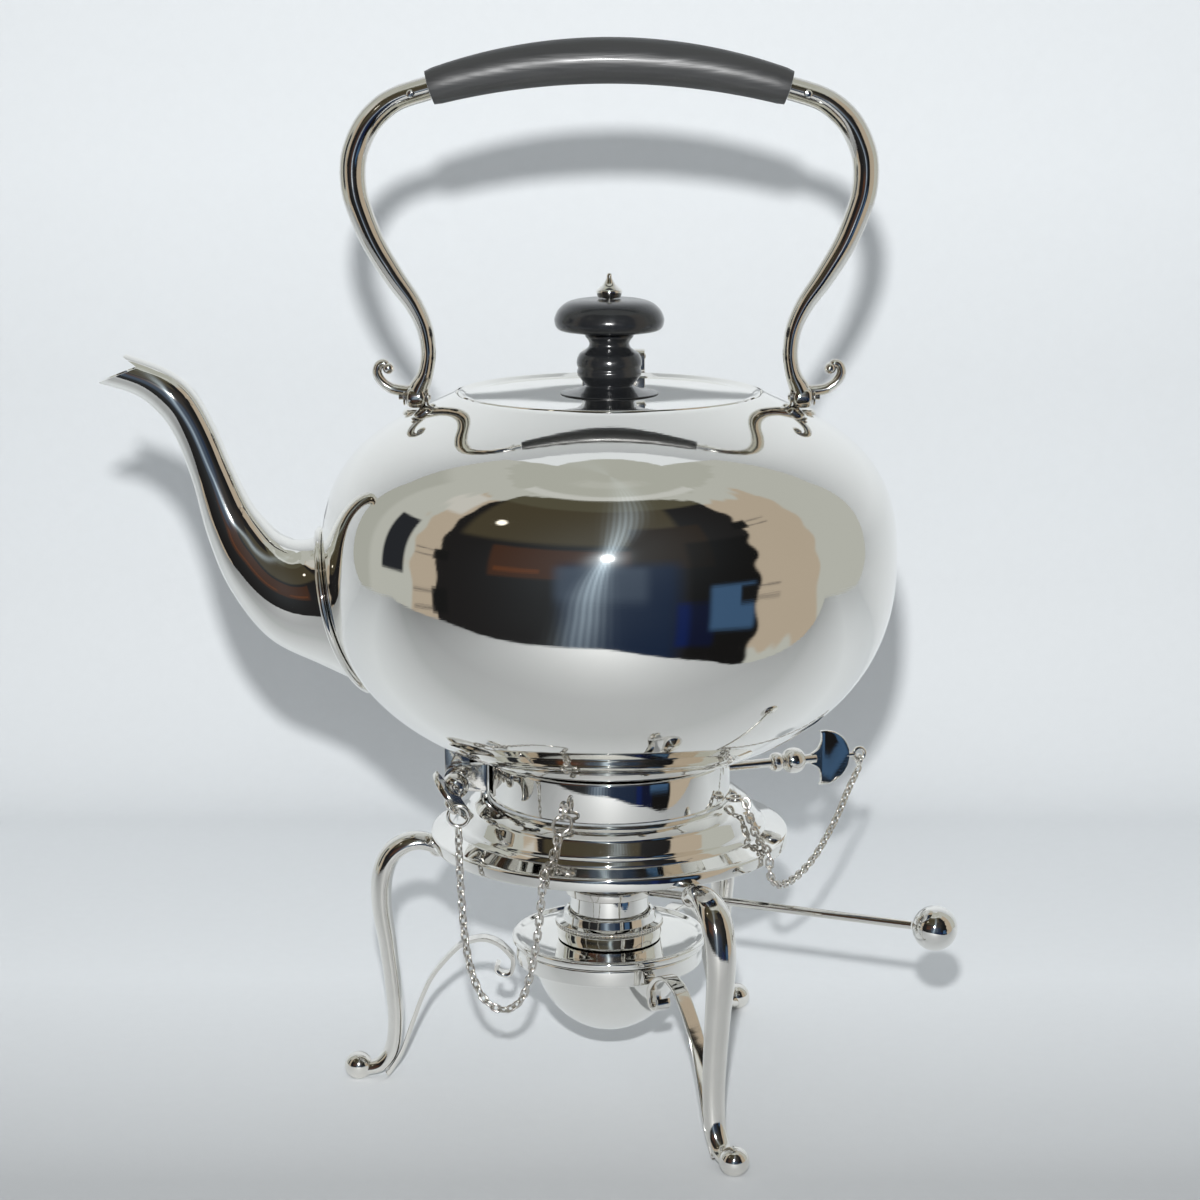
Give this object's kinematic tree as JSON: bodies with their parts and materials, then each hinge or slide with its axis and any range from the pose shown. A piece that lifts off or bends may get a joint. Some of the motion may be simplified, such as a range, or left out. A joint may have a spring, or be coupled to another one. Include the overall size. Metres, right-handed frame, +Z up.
{
  "type": "spirit kettle on stand",
  "caption": "Silver-plated tilting kettle with ebony grip and knob on a cabriole-leg stand, with a spirit lamp below and draw-out hinge and lock pins on chains.",
  "frame": {"origin": "middle of the whole object's footprint box, on the surface that the feet stand on", "axes": "+Z up; +X from the spout towards the lamp's lever; -Y is the side that faces the viewer, with the lid hinge on +Y"},
  "size_m": [0.2664, 0.1808, 0.3363],
  "materials": {
    "silver_plate": "polished silver plate with fine wiping scratches",
    "ebony": "waxed ebonised wood, fine grain",
    "wick_cotton": "woven cotton"
  },
  "bodies": {
    "stand": {"stand_collar": "silver_plate", "stand_skirt": "silver_plate", "leg_left": "silver_plate", "leg_front": "silver_plate", "leg_rear": "silver_plate", "strap_left": "silver_plate", "strap_front": "silver_plate", "strap_rear": "silver_plate", "lamp_cradle": "silver_plate", "hinge_bracket": "silver_plate", "front_chain_lug": "silver_plate", "side_chain_lug": "silver_plate"},
    "kettle": {"kettle_body": "silver_plate", "kettle_foot_ring": "silver_plate", "kettle_hinge_lug": "silver_plate", "spout": "silver_plate", "spout_bead": "silver_plate", "handle_lug_left": "silver_plate", "handle_lug_right": "silver_plate", "handle_pivot_left": "silver_plate", "handle_pivot_right": "silver_plate", "lid_hinge_base": "silver_plate", "lid_hinge_pin": "silver_plate"},
    "lid": {"lid": "silver_plate", "lid_hinge_leaf": "silver_plate", "knob_stem": "ebony", "knob_cap": "ebony", "finial_screw": "silver_plate", "knob_nut": "silver_plate"},
    "handle": {"handle_grip": "ebony", "handle_arm_left": "silver_plate", "handle_arm_right": "silver_plate", "grip_rivet_left": "silver_plate", "grip_rivet_right": "silver_plate"},
    "lamp": {"lamp_bowl": "silver_plate", "lamp_top": "silver_plate", "burner_collar": "silver_plate", "wick_tube": "silver_plate", "wick": "wick_cotton"},
    "regulator": {"regulator_ring": "silver_plate", "regulator_rod": "silver_plate", "regulator_ball": "silver_plate"},
    "sleeve": {"flame_sleeve": "silver_plate"},
    "hinge_pin": {"hinge_pin": "silver_plate", "hinge_pin_ring": "silver_plate", "chain_left": "silver_plate"},
    "lock_pin": {"lock_pin": "silver_plate", "lock_pin_ring": "silver_plate", "chain_right": "silver_plate"}
  },
  "joints": [
    {"name": "kettle_tilt", "type": "hinge", "parent": "stand", "child": "kettle", "pos_m": [-0.02272, 0, 0.1055], "axis": [0, -1, 0], "range_deg": [0, 50]},
    {"name": "lid_hinge", "type": "hinge", "parent": "kettle", "child": "lid", "pos_m": [0.02578, 0.0495, 0.2333], "axis": [-1, 0, 0], "range_deg": [0, 100]},
    {"name": "handle_swing", "type": "hinge", "parent": "kettle", "child": "handle", "pos_m": [0.02578, 0, 0.2264], "axis": [1, 0, 0], "range_deg": [-75, 75]},
    {"name": "lamp_lift", "type": "slide", "parent": "stand", "child": "lamp", "axis": [0, 0, 1], "range_m": [0, 0.005]},
    {"name": "regulator_turn", "type": "hinge", "parent": "lamp", "child": "regulator", "pos_m": [0.02578, 0, 0.0669], "axis": [0, 0, 1], "range_deg": [-28, 62]},
    {"name": "sleeve_rise", "type": "slide", "parent": "lamp", "child": "sleeve", "axis": [0, 0, 1], "range_m": [-0.0016, 0.0035]},
    {"name": "hinge_pin_draw", "type": "slide", "parent": "stand", "child": "hinge_pin", "axis": [0, -1, 0], "range_m": [0, 0.022], "deforming": ["chain_left"]},
    {"name": "lock_pin_draw", "type": "slide", "parent": "stand", "child": "lock_pin", "axis": [0.9397, 0.342, 0], "range_m": [-0.0168, 0.012], "deforming": ["chain_right"]}
  ],
  "couplings": [
    {"joint": "sleeve_rise", "follows": "regulator_turn", "m_per_rad": 0.0031831}
  ]
}
